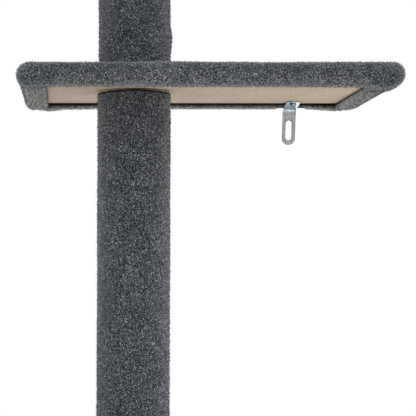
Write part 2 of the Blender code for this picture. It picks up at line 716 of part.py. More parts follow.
def build_ceiling_cover(board_low, board_high, board_radius, parts, materials):
    """Carpet round the plate: its underside, its rolled rim and a hem on top round the pad."""
    outer = CEILING_PLATE_DIAMETER / 2
    inner = board_radius + SEAT_GAP
    top = board_high + CARPET_BUILD_UP
    bottom = board_low - CARPET_BUILD_UP
    rim = outer - CARPET_EDGE_RADIUS
    mouth = SOCKET_FLANGE_DIAMETER / 2 + SEAT_GAP
    hem = outer - CEILING_HEM_WIDTH
    profile = [(hem, top)]
    profile += arc((rim, top - CARPET_EDGE_RADIUS), CARPET_EDGE_RADIUS, 90, 0, EDGE_STEPS)
    profile += arc((rim, bottom + CARPET_EDGE_RADIUS), CARPET_EDGE_RADIUS, 0, -90, EDGE_STEPS)
    profile += [(mouth, bottom), (mouth, board_low - SEAT_GAP), (inner, board_low - SEAT_GAP)]
    profile += [(inner, board_high + SEAT_GAP), (hem, board_high + SEAT_GAP)]
    turned("ceiling_cover", profile, DISC_STEPS, parts, materials["carpet"])


def build_cat_tree():
    clear_scene()
    parts = new_collection("floor to ceiling cat tree")
    cutters = new_collection("cutters")
    materials = make_materials()
    build_base(parts, cutters, materials)
    low = BASE_TOP + SEAT_GAP
    for number, side in enumerate(SHELF_SIDES, start=1):
        build_post(number, low, POST_LENGTH, INSERT_DIAMETER, parts, materials)
        build_insert(f"post_insert_top_{number}", low + POST_LENGTH, -1, parts, materials["zinc"])
        board_low = low + POST_LENGTH + SEAT_GAP
        board, cover = build_shelf(number, side, board_low, parts, cutters, materials)
        if number == BRACKET_SHELF:
            build_bracket(board_low, board, cover, parts, cutters, materials)
        low = board_low + SHELF_TOP_ABOVE_BOARD_LOW + SEAT_GAP
    last = len(SHELF_SIDES) + 1
    build_post(last, low, TOP_POST_LENGTH, FLANGE_BARREL_DIAMETER, parts, materials)
    hex_high = build_spindle(low + TOP_POST_LENGTH, parts, cutters, materials)
    build_ceiling_plate(hex_high, parts, cutters, materials)


build_cat_tree()
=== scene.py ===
import json
import math

import bmesh
import bpy
from mathutils import Matrix, Vector, noise


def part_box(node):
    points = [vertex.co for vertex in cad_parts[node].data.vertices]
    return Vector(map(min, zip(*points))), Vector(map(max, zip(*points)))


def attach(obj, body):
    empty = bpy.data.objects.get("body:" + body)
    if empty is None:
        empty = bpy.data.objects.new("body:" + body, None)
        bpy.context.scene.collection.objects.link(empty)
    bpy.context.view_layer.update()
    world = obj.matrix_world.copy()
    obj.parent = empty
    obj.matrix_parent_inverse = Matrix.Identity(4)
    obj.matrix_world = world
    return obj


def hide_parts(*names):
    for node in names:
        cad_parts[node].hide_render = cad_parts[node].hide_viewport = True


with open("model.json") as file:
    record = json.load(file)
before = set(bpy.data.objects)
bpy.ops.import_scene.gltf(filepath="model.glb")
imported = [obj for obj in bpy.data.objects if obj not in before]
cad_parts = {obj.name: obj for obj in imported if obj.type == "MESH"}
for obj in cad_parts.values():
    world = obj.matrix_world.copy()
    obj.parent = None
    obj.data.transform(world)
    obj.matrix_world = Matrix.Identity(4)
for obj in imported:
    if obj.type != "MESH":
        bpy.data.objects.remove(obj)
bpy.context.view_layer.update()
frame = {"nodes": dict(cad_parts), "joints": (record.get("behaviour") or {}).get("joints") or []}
nodes = frame["nodes"]
print("frame loaded:", len(nodes), "solids")


def clamped(value):
    return min(1, max(0, value))


def addObject(name, data):
    made = bpy.data.objects.new(name, data)
    bpy.context.scene.collection.objects.link(made)
    return made


def toLinear(colour):
    parts = [int(colour[i:i + 2], 16) / 255 for i in (1, 3, 5)]
    return (*[c / 12.92 if c <= 0.04045 else ((c + 0.055) / 1.055) ** 2.4 for c in parts], 1.0)


def addNode(tree, kind, inputs=None, stops=None, **settings):
    node = tree.nodes.new(kind)
    for name, value in settings.items():
        setattr(node, name, value)
    for socket, value in (inputs or {}).items():
        if isinstance(value, bpy.types.NodeSocket):
            tree.links.new(value, node.inputs[socket])
        else:
            node.inputs[socket].default_value = value
    if stops:
        stops = list(stops)
        while len(node.color_ramp.elements) < len(stops):
            node.color_ramp.elements.new(0.5)
        for element, (position, colour) in zip(node.color_ramp.elements, stops):
            element.position = position
            element.color = toLinear(colour)
    return node


def startMaterial(name, **shaderInputs):
    material = bpy.data.materials.new(name)
    material.use_nodes = True
    tree = material.node_tree
    shader = tree.nodes["Principled BSDF"]
    for socket, value in shaderInputs.items():
        shader.inputs[socket.replace("_", " ")].default_value = value
    place = addNode(tree, "ShaderNodeTexCoord").outputs["Object"]
    return material, tree, shader, place


plush = {
    # the pale shades after the body shades are painted light: the hem under the board and the top edge look paler, as
    # if lit at a grazing angle
    "shades": ("#141517", "#36383d", "#82868d", "#d2d5d9"), "paleLitShades": ("#1c1c1b", "#575654", "#c0beba"),
    # the near-black shades are the dark cut backing, and painted shade where the hem meets the board, at a post's top
    # and beside the bracket's foot
    "cutAndPaintedShades": ("#0e0e0f", "#3b3a39"),
    # where each shade lies, on the skins' mottle and among the single fibres
    "skinStops": (0.0, 0.45, 0.78, 1.0), "skinPaleLitStops": (0.34, 0.5, 0.67), "cutAndShadeStops": (0.2, 0.8),
    "fibreStops": (0.1, 0.5, 0.82, 1.0), "fibrePaleLitStops": (0.38, 0.52, 0.64),
    "strandScale": 590, "moteScale": 1000, "blotchScale": 60, "blotchShare": 0.15, "mottleRange": (0.76, 1.40),
    "sheen": 0.42, "bump": 0.5, "bumpDepth": 0.0009,
    "boardStretch": (1.0, 0.7, 1.5), "postStretch": (1.15, 1.15, 0.88),
}


def heatheredPlush(name, stretch):
    # needle-punched polyester plush: dark, mid and pale fibres mixed, so it is mottled at 1 to 3 mm,
    # and brushed one way, so the mottle is longer along the boards' edges and up the posts
    material, tree, shader, place = startMaterial(
        name, Roughness=0.92, Sheen_Roughness=0.4, Specular_IOR_Level=0.2
    )
    brushed = addNode(tree, "ShaderNodeVectorMath", {0: place, 1: stretch}, operation="MULTIPLY").outputs[0]
    strands = addNode(tree, "ShaderNodeTexNoise", {
        "Vector": brushed, "Scale": plush["strandScale"], "Detail": 2.0, "Roughness": 0.55, "Distortion": 1.2,
    })
    motes = addNode(tree, "ShaderNodeTexNoise", {
        "Vector": brushed, "Scale": plush["moteScale"], "Detail": 1.0, "Roughness": 0.5, "Distortion": 0.4,
    })
    blotches = addNode(tree, "ShaderNodeTexNoise", {
        "Vector": place, "Scale": plush["blotchScale"], "Detail": 2.0, "Roughness": 0.5,
    })
    both = addNode(tree, "ShaderNodeMath", {0: strands.outputs["Fac"], 1: motes.outputs["Fac"]}, operation="ADD")
    mottle = addNode(tree, "ShaderNodeMath", {
        0: blotches.outputs["Fac"], 1: plush["blotchShare"], 2: both.outputs[0],
    }, operation="MULTIPLY_ADD")
    least, most = plush["mottleRange"]
    spread = addNode(tree, "ShaderNodeMapRange", {
        "Value": mottle.outputs[0], "From Min": least, "From Max": most,
    }).outputs["Result"]
    body = addNode(tree, "ShaderNodeValToRGB", {"Fac": spread}, stops=zip(plush["skinStops"], plush["shades"]))
    # painted light: paler shades for the hem and the top edge, as if lit at a grazing angle
    hem = addNode(tree, "ShaderNodeValToRGB", {"Fac": spread}, stops=zip(plush["skinPaleLitStops"], plush["paleLitShades"]))
    paintedPaleLight = addNode(tree, "ShaderNodeAttribute", attribute_name="paintedPaleLight")
    cutEdgeAndPaintedShade = addNode(tree, "ShaderNodeAttribute", attribute_name="cutEdgeAndPaintedShade")
    mottledAndLit = addNode(tree, "ShaderNodeMix", {
        0: paintedPaleLight.outputs["Fac"], 6: body.outputs["Color"], 7: hem.outputs["Color"],
    }, data_type="RGBA")
    # the dark cut backing, and painted shade near the board, at a post's top and beside the bracket's foot
    cutAndShadeRamp = addNode(tree, "ShaderNodeValToRGB", {"Fac": spread}, stops=zip(plush["cutAndShadeStops"], plush["cutAndPaintedShades"]))
    cutAndShade = addNode(tree, "ShaderNodeMix", {
        0: cutEdgeAndPaintedShade.outputs["Fac"], 6: mottledAndLit.outputs[2], 7: cutAndShadeRamp.outputs["Color"],
    }, data_type="RGBA")
    tree.links.new(cutAndShade.outputs[2], shader.inputs["Base Color"])
    # the sheen fades with the same mask, so the painted shade stays dark as well
    sheen = addNode(tree, "ShaderNodeMapRange", {
        "Value": cutEdgeAndPaintedShade.outputs["Fac"], "To Min": plush["sheen"], "To Max": 0.0,
    })
    tree.links.new(sheen.outputs["Result"], shader.inputs["Sheen Weight"])  # the cut backing has no nap
    bump = addNode(tree, "ShaderNodeBump", {
        "Height": both.outputs[0], "Strength": plush["bump"], "Distance": plush["bumpDepth"],
    })
    tree.links.new(bump.outputs["Normal"], shader.inputs["Normal"])
    return material


def pileFibre():
    # single fibres of the same plush, each one shade from tip to root
    material, tree, shader = startMaterial(
        "plush fibre", Roughness=0.85, Sheen_Weight=plush["sheen"], Sheen_Roughness=0.4, Specular_IOR_Level=0.2
    )[:3]
    shade = addNode(tree, "ShaderNodeAttribute", attribute_name="fibreShade").outputs["Fac"]
    paintedPaleLight = addNode(tree, "ShaderNodeAttribute", attribute_name="paintedPaleLight").outputs["Fac"]
    body = addNode(tree, "ShaderNodeValToRGB", {"Fac": shade}, stops=zip(plush["fibreStops"], plush["shades"]))
    # painted light: the fibres on the hem and the top edge get the paler shades too
    hem = addNode(tree, "ShaderNodeValToRGB", {"Fac": shade}, stops=zip(plush["fibrePaleLitStops"], plush["paleLitShades"]))
    dyedAndLit = addNode(tree, "ShaderNodeMix", {
        0: paintedPaleLight, 6: body.outputs["Color"], 7: hem.outputs["Color"],
    }, data_type="RGBA")
    tree.links.new(dyedAndLit.outputs[2], shader.inputs["Base Color"])
    return material


fibreboard = {
    "cloudScale": 18.0, "clouds": ((0.3, "#b9a790"), (0.7, "#c2b19c")),
    "speckScale": 550.0, "specks": ((0.30, "#a4917b"), (0.48, "#ffffff")), "speckShare": 0.65,
    "sandedAlong": (1.0, 0.12, 1.0), "bump": 0.2, "bumpDepth": 0.0002,
}


def bareFibreboard():
    # pressed wood fibreboard, sanded: matt beige with fine darker specks and faint press clouds
    material, tree, shader, place = startMaterial("sanded fibreboard", Roughness=0.78, Specular_IOR_Level=0.3)
    clouds = addNode(tree, "ShaderNodeTexNoise", {"Vector": place, "Scale": fibreboard["cloudScale"], "Detail": 3.0})
    sanded = addNode(tree, "ShaderNodeVectorMath", {0: place, 1: fibreboard["sandedAlong"]}, operation="MULTIPLY")
    fibres = addNode(tree, "ShaderNodeTexNoise", {
        "Vector": sanded.outputs[0], "Scale": fibreboard["speckScale"], "Detail": 3.0, "Roughness": 0.7,
    }).outputs["Fac"]
    pressed = addNode(tree, "ShaderNodeValToRGB", {"Fac": clouds.outputs["Fac"]}, stops=fibreboard["clouds"])
    specks = addNode(tree, "ShaderNodeValToRGB", {"Fac": fibres}, stops=fibreboard["specks"])
    specked = addNode(tree, "ShaderNodeMix", {
        0: fibreboard["speckShare"], 6: pressed.outputs["Color"], 7: specks.outputs["Color"],
    }, data_type="RGBA", blend_type="MULTIPLY")
    tree.links.new(specked.outputs[2], shader.inputs["Base Color"])
    bump = addNode(tree, "ShaderNodeBump", {
        "Height": fibres, "Strength": fibreboard["bump"], "Distance": fibreboard["bumpDepth"],
    })
    tree.links.new(bump.outputs["Normal"], shader.inputs["Normal"])
    return material


zinc = {
    "filmScale": 420.0, "film": ((0.3, "#b6bfc4"), (0.5, "#c7cacb"), (0.7, "#d4d2cf")),
    "grainScale": 1400.0, "bump": 0.15, "bumpDepth": 0.0001,
    "roughness": (0.18, 0.34), "bracketRoughness": (0.12, 0.24),
    "zoneReach": 0.01,  # a zone's stops run from its centre to here, after its stretch
    # painted reflection: darker towards the bracket's rims and in a narrow band about 4 mm from its middle
    "sideways": (1, 0, 0), "sidewaysStops": (
        (0.0, "#ffffff"), (0.33, "#ffffff"), (0.39, "#e2e2e2"), (0.55, "#ffffff"), (0.72, "#f4f4f4"), (0.86, "#cccccc"),
    ),
    "upward": (0, 0, 0.25), "upwardStops": (  # painted reflection: brightest and bluest on the foot and at the bend, painted shade below the bend
        (0.10, "#e2f1ff"), (0.12, "#fafcff"), (0.15, "#e2e0de"), (0.172, "#c2c2c2"), (0.205, "#d2d2d2"),
        (0.27, "#cfcfcf"), (0.33, "#e6e6e6"), (0.37, "#eeeeee"), (0.46, "#eeeeee"), (0.52, "#dddddd"),
        (0.95, "#dcdcdc"), (1.0, "#d0d0d0"),
    ),
    # painted shade on the screw head: its near side light, the rest of the head dark as if in shade
    "recessFromSeat": (0, -0.0039, -0.0024), "recess": (0.7, 1, 1.2),
    "recessStops": ((0.0, "#f0f4f8"), (0.17, "#e0e4e8"), (0.21, "#484c50")),
}


def zincPlate(name, zones=(), roughness=zinc["roughness"]):
    # blue-passivated zinc on pressed steel: satin, faintly blue and straw where the film's depth varies;
    # each zone multiplies in painted reflection or shade by the distance from a place: darker rims, a brighter bluish
    # foot with painted shade below the bend, and painted shade on the screw head
    material, tree, shader, place = startMaterial(name, Metallic=1.0, Roughness=0.26)
    film = addNode(tree, "ShaderNodeTexNoise", {"Vector": place, "Scale": zinc["filmScale"], "Detail": 3.0})
    grain = addNode(tree, "ShaderNodeTexNoise", {
        "Vector": place, "Scale": zinc["grainScale"], "Detail": 2.0,
    }).outputs["Fac"]
    colour = addNode(tree, "ShaderNodeValToRGB", {"Fac": film.outputs["Fac"]}, stops=zinc["film"]).outputs["Color"]
    for centre, stretch, shades in zones:
        away = addNode(tree, "ShaderNodeVectorMath", {0: place, 1: centre}, operation="SUBTRACT").outputs[0]
        away = addNode(tree, "ShaderNodeVectorMath", {0: away, 1: stretch}, operation="MULTIPLY").outputs[0]
        away = addNode(tree, "ShaderNodeVectorMath", {0: away}, operation="LENGTH").outputs["Value"]
        away = addNode(tree, "ShaderNodeMapRange", {"Value": away, "From Max": zinc["zoneReach"]}).outputs["Result"]
        shade = addNode(tree, "ShaderNodeValToRGB", {"Fac": away}, stops=shades).outputs["Color"]
        colour = addNode(tree, "ShaderNodeMix", {
            0: 1.0, 6: colour, 7: shade,
        }, data_type="RGBA", blend_type="MULTIPLY").outputs[2]
    tree.links.new(colour, shader.inputs["Base Color"])
    smoothest, roughest = roughness
    rough = addNode(tree, "ShaderNodeMapRange", {"Value": grain, "To Min": smoothest, "To Max": roughest})
    tree.links.new(rough.outputs["Result"], shader.inputs["Roughness"])
    bump = addNode(tree, "ShaderNodeBump", {"Height": grain, "Strength": zinc["bump"], "Distance": zinc["bumpDepth"]})
    tree.links.new(bump.outputs["Normal"], shader.inputs["Normal"])
    return material


mattStuffs = {  # darker and lighter shade, grain per metre, roughness, the grain's depth
    # painted light: the wound cardboard is made paler, so its strip in the shaded gap at a post's top looks as lit as
    # the board
    "wound cardboard": ("#d0c2ac", "#dccfbb", 220.0, 0.85, 0.0003),
    "turned pine": ("#c9a878", "#dbbf93", 90.0, 0.6, 0.0002),
    "moulded black nylon": ("#151517", "#1f1f22", 900.0, 0.42, 0.00005),
    "pressed grey felt": ("#3b3b3c", "#656565", 800.0, 0.95, 0.0005),
    "grip rubber": ("#1a1a1b", "#262627", 500.0, 0.7, 0.0001),
}


def mattStuff(name, **more):
    # a matt material whose colour varies a little at its grain's size
    darker, lighter, scale, roughness, bumpDepth = mattStuffs[name]
    material, tree, shader, place = startMaterial(name, Roughness=roughness, **more)
    grain = addNode(tree, "ShaderNodeTexNoise", {"Vector": place, "Scale": scale, "Detail": 3.0}).outputs["Fac"]
    colour = addNode(tree, "ShaderNodeValToRGB", {"Fac": grain}, stops=((0.35, darker), (0.65, lighter)))
    tree.links.new(colour.outputs["Color"], shader.inputs["Base Color"])
    bump = addNode(tree, "ShaderNodeBump", {"Height": grain, "Strength": 0.4, "Distance": bumpDepth})
    tree.links.new(bump.outputs["Normal"], shader.inputs["Normal"])
    return material


boardPlush = heatheredPlush("heathered plush on boards", plush["boardStretch"])
postPlush = heatheredPlush("heathered plush on posts", plush["postStretch"])
fibreMaterial = pileFibre()
zincMaterial = zincPlate("blue zinc plate")
swivel = next(joint for joint in frame["joints"] if joint["name"] == "bracket_swivel")
bracketSeat = Vector(swivel["pos_m"])
bracketUp = Vector(swivel["axis"])
# painted reflection and shade on the bracket, and painted shade on the screw head
stampedZinc = zincPlate("blue zinc plate on the stamped bracket", (
    (bracketSeat, zinc["sideways"], zinc["sidewaysStops"]), (bracketSeat, zinc["upward"], zinc["upwardStops"]),
), zinc["bracketRoughness"])
screwZinc = zincPlate("blue zinc plate on the screw head", (
    (bracketSeat + Vector(zinc["recessFromSeat"]), zinc["recess"], zinc["recessStops"]),
))
feltMaterial = mattStuff("pressed grey felt", Sheen_Weight=0.3)
rubberMaterial = mattStuff("grip rubber")
finishes = {  # by a part of the solid's name, and everything else is zinc
    "board": bareFibreboard(), "tube": mattStuff("wound cardboard"), "plug": mattStuff("turned pine"),
    "lock_nut": mattStuff("moulded black nylon"), "ceiling_pad": rubberMaterial, "glide": feltMaterial,
    "bracket_screw": screwZinc,
}
for nodeName, node in nodes.items():
    node.data.materials.clear()
    node.data.materials.append(next((finish for part, finish in finishes.items() if part in nodeName), zincMaterial))
print("materials made")


def newPiece(name, points, faces, material, shades=None):
    mesh = bpy.data.meshes.new(name)
    mesh.from_pydata([tuple(p) for p in points], [], faces)
    for shadeName, values in (shades or {}).items():
        mesh.attributes.new(shadeName, "FLOAT", "POINT").data.foreach_set("value", values)
    bm = bmesh.new()
    bm.from_mesh(mesh)
    bmesh.ops.recalc_face_normals(bm, faces=bm.faces)
    bm.to_mesh(mesh)
    bm.free()
    mesh.shade_smooth()
    mesh.materials.append(material)
    return addObject(name, mesh)


def loft(rings, closed=False):
    # faces between rings of the same count of points; either the last ring joins the first, or both get a lid
    count = len(rings[0])
    points = [p for ring in rings for p in ring]
    faces = []
    for k in range(len(rings) - (0 if closed else 1)):
        low, high = k * count, (k + 1) % len(rings) * count
        for i in range(count):
            j = (i + 1) % count
            faces.append((low + i, low + j, high + j, high + i))
    if not closed:
        faces.append(tuple(range(count)))
        faces.append(tuple(range(len(points) - count, len(points))))
    return points, faces


def upAxis(low, high):
    return Vector(((low.x + high.x) / 2, (low.y + high.y) / 2, 0))


def circleRing(axis, radius, z, count):
    turns = [2 * math.pi * i / count for i in range(count)]
    return [axis + Vector((radius * math.cos(turn), radius * math.sin(turn), z)) for turn in turns]


def roundedRectangle(low, high, radius, z, step, cornerCount, closeUp=None):
    # starts at the front right corner; closeUp = (x from, x to, count) puts more points on the back side
    # between those places, and a third of the usual ones before them
    ring = []
    middles = ((high.x - radius, low.y + radius), (high.x - radius, high.y - radius),
               (low.x + radius, high.y - radius), (low.x + radius, low.y + radius))
    for k, middle in enumerate(middles):
        for i in range(cornerCount + 1):
            angle = math.radians(-90 + 90 * k + 90 * i / cornerCount)
            ring.append(Vector((middle[0] + radius * math.cos(angle), middle[1] + radius * math.sin(angle), z)))
        after = middles[(k + 1) % 4]
        angle = math.radians(90 * k)
        start = ring[-1].copy()
        end = Vector((after[0] + radius * math.cos(angle), after[1] + radius * math.sin(angle), z))
        stops = [(start, end, step[k % 2])]
        if k == 1 and closeUp:
            near, far = (Vector((x, start.y, z)) for x in closeUp[:2])
            stops = [(start, near, step[1] // 3), (near, far, closeUp[2]), (far, end, step[1])]
        for a, b, count in stops:
            ring += [a.lerp(b, i / count) for i in range(1, count + 1)]
        ring.pop()
    return ring


def arcPoints(centre, radius, start, end, count):
    angles = [math.radians(start + (end - start) * i / count) for i in range(count + 1)]
    return [(centre[0] + radius * math.cos(angle), centre[1] + radius * math.sin(angle)) for angle in angles]


pile = {
    "length": 0.0021, "radius": 0.00026, "leanDegrees": 58, "shortest": 0.55, "longest": 1.25,
    "perSquareMetre": 200000, "tuftsPerMetre": 260, "seed": 7, "proud": 0.0008,
    # how far the tufts differ in shade between these levels of their noise, and the single fibres in them
    "tuftLevels": (0.3, 0.7), "tuftShade": 0.35, "fibreShades": (0.2, 0.8), "shadeSeed": 3,
    "brushedBoards": (1, 0.7, 1), "brushedPosts": (1, 1, 1),
}


def pileTree():
    tree = bpy.data.node_groups.new("plant pile fibres", "GeometryNodeTree")
    sockets = {
        "Geometry": "NodeSocketGeometry", "Fibres per m2": "NodeSocketFloat", "Length": "NodeSocketFloat",
        "Radius": "NodeSocketFloat", "Lean": "NodeSocketFloat", "Shortest": "NodeSocketFloat",
        "Longest": "NodeSocketFloat", "Tufts per m": "NodeSocketFloat", "Brushed": "NodeSocketVector",
        "Seed": "NodeSocketInt", "Material": "NodeSocketMaterial",
    }
    for name, kind in sockets.items():
        tree.interface.new_socket(name=name, in_out="INPUT", socket_type=kind)
    tree.interface.new_socket(name="Geometry", in_out="OUTPUT", socket_type="NodeSocketGeometry")
    given = addNode(tree, "NodeGroupInput").outputs
    share = addNode(tree, "GeometryNodeInputNamedAttribute", {"Name": "pileShare"}, data_type="FLOAT")
    density = addNode(tree, "ShaderNodeMath", {
        0: given["Fibres per m2"], 1: share.outputs["Attribute"],
    }, operation="MULTIPLY")
    roots = addNode(tree, "GeometryNodeDistributePointsOnFaces", {
        "Mesh": given["Geometry"], "Density": density.outputs[0], "Seed": given["Seed"],
    })
    least = addNode(tree, "ShaderNodeMath", {0: given["Lean"], 1: -1.0}, operation="MULTIPLY")
    leastLean = addNode(tree, "ShaderNodeCombineXYZ", {"X": least.outputs[0], "Y": least.outputs[0], "Z": -math.pi})
    mostLean = addNode(tree, "ShaderNodeCombineXYZ", {"X": given["Lean"], "Y": given["Lean"], "Z": math.pi})
    lean = addNode(tree, "FunctionNodeRandomValue", {
        "Min": leastLean.outputs[0], "Max": mostLean.outputs[0], "Seed": given["Seed"],
    }, data_type="FLOAT_VECTOR")
    turn = addNode(tree, "FunctionNodeEulerToRotation", {0: lean.outputs["Value"]})
    stand = addNode(tree, "FunctionNodeRotateRotation", {
        "Rotation": roots.outputs["Rotation"], "Rotate By": turn.outputs[0],
    }, rotation_space="LOCAL")
    size = addNode(tree, "FunctionNodeRandomValue", {2: given["Shortest"], 3: given["Longest"]}, data_type="FLOAT")
    fibre = addNode(tree, "GeometryNodeMeshCone", {
        "Vertices": 3, "Radius Top": 0.0, "Radius Bottom": given["Radius"], "Depth": given["Length"],
    })
    planted = addNode(tree, "GeometryNodeInstanceOnPoints", {
        "Points": roots.outputs["Points"], "Instance": fibre.outputs["Mesh"],
        "Rotation": stand.outputs[0], "Scale": size.outputs[1],
    })
    where = addNode(tree, "ShaderNodeVectorMath", {
        0: addNode(tree, "GeometryNodeInputPosition").outputs[0], 1: given["Brushed"],
    }, operation="MULTIPLY")
    tuft = addNode(tree, "ShaderNodeTexNoise", {
        "Vector": where.outputs[0], "Scale": given["Tufts per m"], "Detail": 1.0,
    })
    (tuftLow, tuftHigh), (fibreLow, fibreHigh) = pile["tuftLevels"], pile["fibreShades"]
    tuftTone = addNode(tree, "ShaderNodeMapRange", {
        "Value": tuft.outputs["Fac"], "From Min": tuftLow, "From Max": tuftHigh,
        "To Min": -pile["tuftShade"], "To Max": pile["tuftShade"],
    })
    tone = addNode(tree, "FunctionNodeRandomValue", {"Seed": pile["shadeSeed"]}, data_type="FLOAT")
    fibreTone = addNode(tree, "ShaderNodeMapRange", {
        "Value": tone.outputs[1], "To Min": fibreLow, "To Max": fibreHigh,
    })
    shade = addNode(tree, "ShaderNodeMath", {
        0: tuftTone.outputs["Result"], 1: fibreTone.outputs["Result"],
    }, operation="ADD")
    toned = addNode(tree, "GeometryNodeStoreNamedAttribute", {
        "Geometry": planted.outputs[0], "Name": "fibreShade", "Value": shade.outputs[0],
    }, data_type="FLOAT", domain="INSTANCE")
    real = addNode(tree, "GeometryNodeRealizeInstances", {"Geometry": toned.outputs[0]})
    dyedAndLit = addNode(tree, "GeometryNodeSetMaterial", {"Geometry": real.outputs[0], "Material": given["Material"]})
    addNode(tree, "NodeGroupOutput", {"Geometry": dyedAndLit.outputs[0]})
    return tree


plantPile = pileTree()


def growPile(skin, name, perSquareMetre, brushed):
    grown = addObject(name, skin.data.copy())
    modifier = grown.modifiers.new("pile", "NODES")
    modifier.node_group = plantPile
    wanted = {
        "Fibres per m2": perSquareMetre, "Length": pile["length"], "Radius": pile["radius"],
        "Lean": math.radians(pile["leanDegrees"]), "Shortest": pile["shortest"], "Longest": pile["longest"],
        "Tufts per m": pile["tuftsPerMetre"], "Brushed": brushed,
        "Seed": pile["seed"], "Material": fibreMaterial,
    }
    for socket in plantPile.interface.items_tree:
        if socket.in_out == "INPUT" and socket.name in wanted:
            modifier[socket.identifier] = wanted[socket.name]
    bpy.context.view_layer.update()
    plain = bpy.data.meshes.new_from_object(grown.evaluated_get(bpy.context.evaluated_depsgraph_get()))
    plain.name = name
    grown.modifiers.clear()
    grown.data = plain
    print("  ", name, len(plain.vertices) // 4, "fibres")
    return grown


def dressCarpet(skin, node, body, perSquareMetre, brushed=pile["brushedBoards"]):
    # the skin stands for the carpet's solid, and its pile goes with it
    fibres = growPile(skin, skin.name + "Pile", perSquareMetre, brushed)
    for piece in (skin, fibres):
        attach(piece, body)
    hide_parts(node)


wrap = {
    # radius of the upper and the lower fold at the post's side, the far side, the front and the back
    "folds": ((0.0152, 0.0102), (0.0114, 0.0185), (0.0122, 0.0122), (0.0122, 0.0122)), "foldHeight": 0.0128,
    "cornerRadius": 0.015, "leastCorner": 0.0006, "cornerCount": 8, "sideStep": 0.006, "foldSteps": 16,
    "thickness": 0.0045, "gap": 0.0003, "topRise": 0.0013, "hemDrop": 0.0006, "foldSaving": 0.03,
    "offCentre": 0.01,  # a carpet that lies further to the left than this has its post at the right
    # rings on the top: how far in, how much painted highlight; and rings on the hem, as shares of its width
    "topRings": ((0.09, 0), (0.055, 0), (0.03, 0), (0.012, 0.6)), "topPile": 0.6,
    "hemRings": (0.25, 0.5, 0.72), "hemPile": 0.9, "hemRipple": 0.8,
    # rings round the hem's cut end: how far in, how far up, pile, painted pale light, dark cut edge with painted shade,
    # ripple
    "cutEnd": (
        (-0.0036, 0, 0.9, 1, 0, 0.7), (-0.0014, 0.0003, 1, 0.9, 0, 0.6), (-0.0003, 0.0012, 0.8, 0.7, 0.15, 0.4),
        (0, 0.0024, 0.5, 0.5, 0.5, 0.2), (0, 0.0034, 0, 0.3, 0.95, 0.1),
    ), "cutGap": 0.0004, "innerEnd": 0.105,
    # painted highlight on the fold's top, fading out by a step of it, and from another step on painted pale light as on
    # the hem
    "litTopSteps": 3, "litTopShare": 0.7, "paleStep": 7, "paleSteps": 4,
    # pressed in at the post's side and the far side: all along, more to the back, and less at the very back
    "sideIn": (0.0009, 0.0004), "sidePress": (0.0014, 0.0042), "pressFrom": 0.02, "pressOver": 0.075,
    "sideFree": (0.0010, 0.0), "freeFrom": 0.23, "freeOver": 0.08, "pressReach": 0.035,
    "backSag": 0.0012, "sagFrom": 0.06, "leanFrom": 0.014, "leanOver": 0.018, "leanTo": 0.06,
    # painted pale light on the hem's strips at the post's side and the far side: where they start, how wide, how soft
    # their ends
    "paleFrom": (0.052, 0.088), "paleOver": 0.012, "strip": 0.040, "stripOver": 0.004,
    "paleElsewhere": 0.3, "rightLessLit": 0.25, "litTopTo": 0.4,
    "ripple": 0.0005, "rippleScale": 16.0, "finerBy": 4, "fineShare": 0.5, "rippleSeed": 5,
    "pileShares": {1: 0.7, 2: 0.7, 3: 1.0, 4: 0.7, None: 0.45},  # of the full density, and None is the base
}
dent = {
    "shelf": 3, "halfWidth": 0.0095, "swivelDegrees": 12, "fade": 0.0009, "clear": 0.0002, "leastRoom": 0.00035,
    # the last one is how dark the painted shadow of the foot is on the squeezed hem
    "closeUp": (0.036, 80), "depth": 0.035, "footShadow": 0.9,
    "askewRoom": 0.038,  # how much wider per metre to the right, because the bracket hangs a little askew
}
# where the folded carpet is thicker on the photographed shelf: x, y, spread, drop
lumps = {"shelf": 3, "places": (
    (-0.1005, 0.185, 0.012, 0.0030), (-0.130, 0.186, 0.013, 0.0020), (-0.070, 0.186, 0.025, 0.0008),
    (0.259, 0.185, 0.022, 0.0024), (0.285, -0.095, 0.030, 0.0032), (-0.118, -0.110, 0.030, 0.0006),
), "rises": ((0.030, 0.055, 0.0007), (0.250, 0.040, 0.0007))}  # and x, spread, height where the top swells
hemLean = {3: (-0.0035, 0.0025)}  # how much narrower or wider that shelf's hem gets from front to back, at each side
noise.seed_set(wrap["rippleSeed"])  # else the vector noise starts from the clock


def squeezeByBracket(point, boardBottom):
    # the bracket's foot presses the hem into a shallow dent, as wide as the foot swivels
    behind = max(0, point.y - bracketSeat.y)
    reach = dent["halfWidth"] + behind * math.tan(math.radians(dent["swivelDegrees"]))
    reach += dent["askewRoom"] * behind * (point.x > bracketSeat.x)
    near = 1 - clamped((abs(point.x - bracketSeat.x) - reach) / dent["fade"])
    above = bracketSeat.z - (point.y - bracketSeat.y) * bracketUp.y / bracketUp.z + dent["clear"]
    squeezed = min(max(point.z, above), boardBottom - dent["leastRoom"])
    point.z += (squeezed - point.z) * near
    return near


